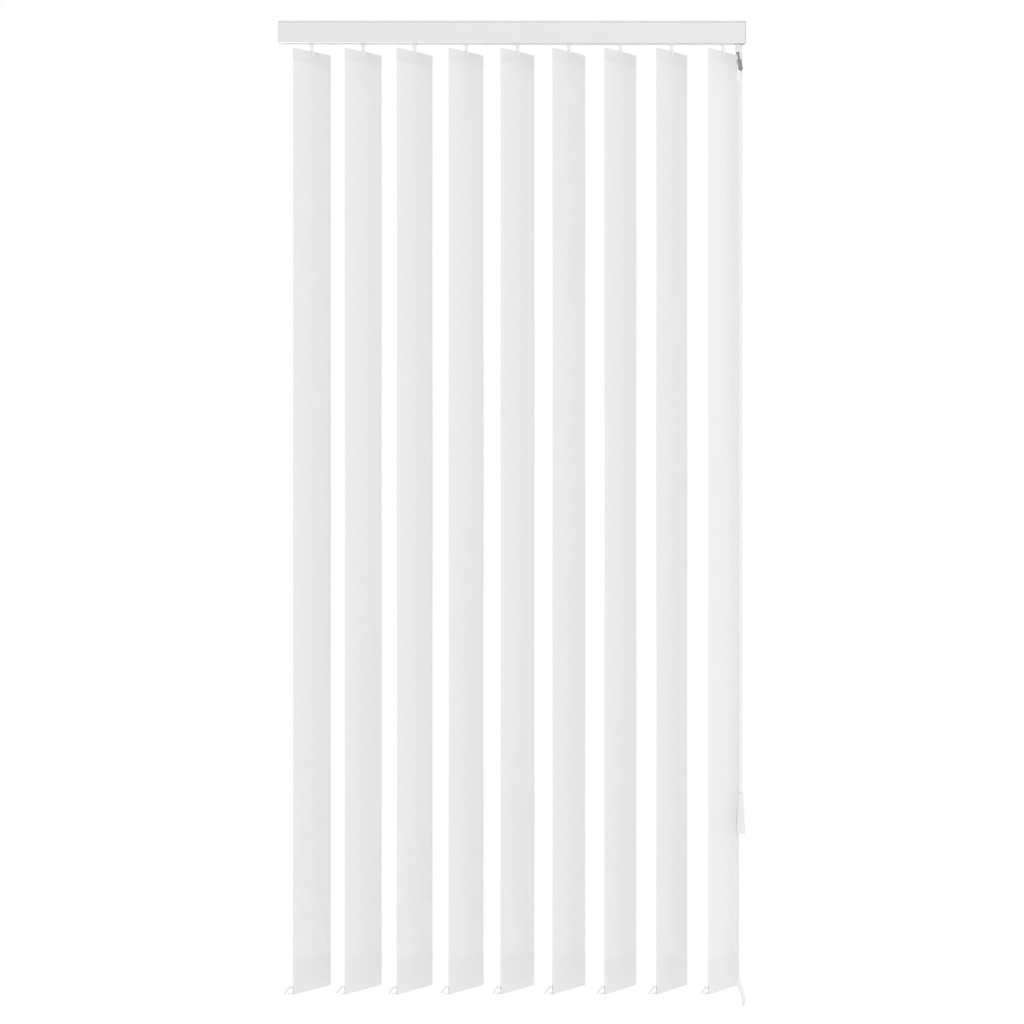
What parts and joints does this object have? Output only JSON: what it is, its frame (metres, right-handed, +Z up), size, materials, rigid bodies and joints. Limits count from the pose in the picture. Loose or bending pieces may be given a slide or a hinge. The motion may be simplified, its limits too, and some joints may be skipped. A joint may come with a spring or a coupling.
{
  "type": "vertical blind",
  "caption": "Vertical window blind: fabric louvres hung from carriers in a slim head rail, with a tilt chain loop and a weighted pull cord.",
  "frame": {"origin": "on the ceiling plane at the top of the brackets, above the middle of the head rail and in the plane of the louvre stems", "axes": "+X along the head rail towards the controls, +Y away from the room towards the window, +Z up"},
  "size_m": [1.0346, 0.1272, 2.1841],
  "materials": {
    "rail_coat": "white powder coat, satin",
    "cap_plastic": "satin",
    "bracket_steel": "zinc plated",
    "rod_metal": "drawn",
    "drive_plastic": "satin",
    "carrier_plastic": "satin",
    "stem_plastic": "satin",
    "hanger_plastic": "satin",
    "louvre_cloth": "fine woven, matt",
    "plate_steel": "white coated sheet steel",
    "chain_plastic": "satin",
    "grey_plastic": "satin",
    "cord_fibre": "braided polyester",
    "weight_plastic": "moulded, satin"
  },
  "bodies": {
    "rail": {"head_rail": "rail_coat", "end_cap_left": "cap_plastic", "control_housing": "cap_plastic", "bracket_left": "bracket_steel", "bracket_right": "bracket_steel", "carrier_9": "carrier_plastic", "bead_chain": "chain_plastic", "chain_connector": "grey_plastic", "pull_cord": "cord_fibre", "cord_weight": "weight_plastic"},
    "tilt_drive": {"tilt_rod": "rod_metal", "chain_sprocket": "drive_plastic"},
    "left_wheel": {"left_pulley": "drive_plastic"},
    "upper_wheel": {"upper_pulley": "drive_plastic"},
    "lower_wheel": {"lower_pulley": "drive_plastic"},
    "runner_1": {"carrier_1": "carrier_plastic"},
    "runner_2": {"carrier_2": "carrier_plastic"},
    "runner_3": {"carrier_3": "carrier_plastic"},
    "runner_4": {"carrier_4": "carrier_plastic"},
    "runner_5": {"carrier_5": "carrier_plastic"},
    "runner_6": {"carrier_6": "carrier_plastic"},
    "runner_7": {"carrier_7": "carrier_plastic"},
    "runner_8": {"carrier_8": "carrier_plastic"},
    "hung_louvre_1": {"stem_1": "stem_plastic", "hanger_1": "hanger_plastic", "louvre_1": "louvre_cloth", "weight_plate_1": "plate_steel"},
    "hung_louvre_2": {"stem_2": "stem_plastic", "hanger_2": "hanger_plastic", "louvre_2": "louvre_cloth", "weight_plate_2": "plate_steel"},
    "hung_louvre_3": {"stem_3": "stem_plastic", "hanger_3": "hanger_plastic", "louvre_3": "louvre_cloth", "weight_plate_3": "plate_steel"},
    "hung_louvre_4": {"stem_4": "stem_plastic", "hanger_4": "hanger_plastic", "louvre_4": "louvre_cloth", "weight_plate_4": "plate_steel"},
    "hung_louvre_5": {"stem_5": "stem_plastic", "hanger_5": "hanger_plastic", "louvre_5": "louvre_cloth", "weight_plate_5": "plate_steel"},
    "hung_louvre_6": {"stem_6": "stem_plastic", "hanger_6": "hanger_plastic", "louvre_6": "louvre_cloth", "weight_plate_6": "plate_steel"},
    "hung_louvre_7": {"stem_7": "stem_plastic", "hanger_7": "hanger_plastic", "louvre_7": "louvre_cloth", "weight_plate_7": "plate_steel"},
    "hung_louvre_8": {"stem_8": "stem_plastic", "hanger_8": "hanger_plastic", "louvre_8": "louvre_cloth", "weight_plate_8": "plate_steel"},
    "hung_louvre_9": {"stem_9": "stem_plastic", "hanger_9": "hanger_plastic", "louvre_9": "louvre_cloth", "weight_plate_9": "plate_steel"}
  },
  "joints": [
    {"name": "traverse_1", "type": "slide", "parent": "rail", "child": "runner_1", "axis": [1, 0, 0], "range_m": [0, 0.752]},
    {"name": "traverse_2", "type": "slide", "parent": "rail", "child": "runner_2", "axis": [1, 0, 0], "range_m": [0, 0.658]},
    {"name": "traverse_3", "type": "slide", "parent": "rail", "child": "runner_3", "axis": [1, 0, 0], "range_m": [0, 0.564]},
    {"name": "traverse_4", "type": "slide", "parent": "rail", "child": "runner_4", "axis": [1, 0, 0], "range_m": [0, 0.47]},
    {"name": "traverse_5", "type": "slide", "parent": "rail", "child": "runner_5", "axis": [1, 0, 0], "range_m": [0, 0.376]},
    {"name": "traverse_6", "type": "slide", "parent": "rail", "child": "runner_6", "axis": [1, 0, 0], "range_m": [0, 0.282]},
    {"name": "traverse_7", "type": "slide", "parent": "rail", "child": "runner_7", "axis": [1, 0, 0], "range_m": [0, 0.188]},
    {"name": "traverse_8", "type": "slide", "parent": "rail", "child": "runner_8", "axis": [1, 0, 0], "range_m": [0, 0.094]},
    {"name": "turn_1", "type": "hinge", "parent": "runner_1", "child": "hung_louvre_1", "pos_m": [-0.4436, 0, -0.0666], "axis": [0, 0, 1], "range_deg": [-42, 114]},
    {"name": "turn_2", "type": "hinge", "parent": "runner_2", "child": "hung_louvre_2", "pos_m": [-0.3296, 0, -0.0666], "axis": [0, 0, 1], "range_deg": [-42, 114]},
    {"name": "turn_3", "type": "hinge", "parent": "runner_3", "child": "hung_louvre_3", "pos_m": [-0.2156, 0, -0.0666], "axis": [0, 0, 1], "range_deg": [-42, 114]},
    {"name": "turn_4", "type": "hinge", "parent": "runner_4", "child": "hung_louvre_4", "pos_m": [-0.1016, 0, -0.0666], "axis": [0, 0, 1], "range_deg": [-42, 114]},
    {"name": "turn_5", "type": "hinge", "parent": "runner_5", "child": "hung_louvre_5", "pos_m": [0.0124, 0, -0.0666], "axis": [0, 0, 1], "range_deg": [-42, 114]},
    {"name": "turn_6", "type": "hinge", "parent": "runner_6", "child": "hung_louvre_6", "pos_m": [0.1264, 0, -0.0666], "axis": [0, 0, 1], "range_deg": [-42, 114]},
    {"name": "turn_7", "type": "hinge", "parent": "runner_7", "child": "hung_louvre_7", "pos_m": [0.2404, 0, -0.0666], "axis": [0, 0, 1], "range_deg": [-42, 114]},
    {"name": "turn_8", "type": "hinge", "parent": "runner_8", "child": "hung_louvre_8", "pos_m": [0.3544, 0, -0.0666], "axis": [0, 0, 1], "range_deg": [-42, 114]},
    {"name": "turn_9", "type": "hinge", "parent": "rail", "child": "hung_louvre_9", "pos_m": [0.4684, 0, -0.0666], "axis": [0, 0, 1], "range_deg": [-42, 114]},
    {"name": "rod_turn", "type": "hinge", "parent": "rail", "child": "tilt_drive", "pos_m": [0.5, -0.0045, -0.022], "axis": [1, 0, 0], "range_deg": [-210, 570]},
    {"name": "left_pulley_turn", "type": "hinge", "parent": "rail", "child": "left_wheel", "pos_m": [-0.4995, 0.01, -0.0235], "axis": [0, 1, 0], "range_deg": [-5746, 0]},
    {"name": "upper_pulley_turn", "type": "hinge", "parent": "rail", "child": "upper_wheel", "pos_m": [0.504, 0.01, -0.022], "axis": [0, 1, 0], "range_deg": [-7183, 0]},
    {"name": "lower_pulley_turn", "type": "hinge", "parent": "rail", "child": "lower_wheel", "pos_m": [0.5025, 0.01, -0.0345], "axis": [0, 1, 0], "range_deg": [0, 12312]}
  ],
  "couplings": [
    {"joint": "traverse_2", "follows": "traverse_1", "ratio": 0.875},
    {"joint": "traverse_3", "follows": "traverse_1", "ratio": 0.75},
    {"joint": "traverse_4", "follows": "traverse_1", "ratio": 0.625},
    {"joint": "traverse_5", "follows": "traverse_1", "ratio": 0.5},
    {"joint": "traverse_6", "follows": "traverse_1", "ratio": 0.375},
    {"joint": "traverse_7", "follows": "traverse_1", "ratio": 0.25},
    {"joint": "traverse_8", "follows": "traverse_1", "ratio": 0.125},
    {"joint": "turn_2", "follows": "turn_1", "ratio": 1},
    {"joint": "turn_3", "follows": "turn_1", "ratio": 1},
    {"joint": "turn_4", "follows": "turn_1", "ratio": 1},
    {"joint": "turn_5", "follows": "turn_1", "ratio": 1},
    {"joint": "turn_6", "follows": "turn_1", "ratio": 1},
    {"joint": "turn_7", "follows": "turn_1", "ratio": 1},
    {"joint": "turn_8", "follows": "turn_1", "ratio": 1},
    {"joint": "turn_9", "follows": "turn_1", "ratio": 1},
    {"joint": "rod_turn", "follows": "turn_1", "ratio": 5},
    {"joint": "left_pulley_turn", "follows": "traverse_1", "rad_per_m": -133.33},
    {"joint": "upper_pulley_turn", "follows": "traverse_1", "rad_per_m": -166.67},
    {"joint": "lower_pulley_turn", "follows": "traverse_1", "rad_per_m": 285.71}
  ]
}
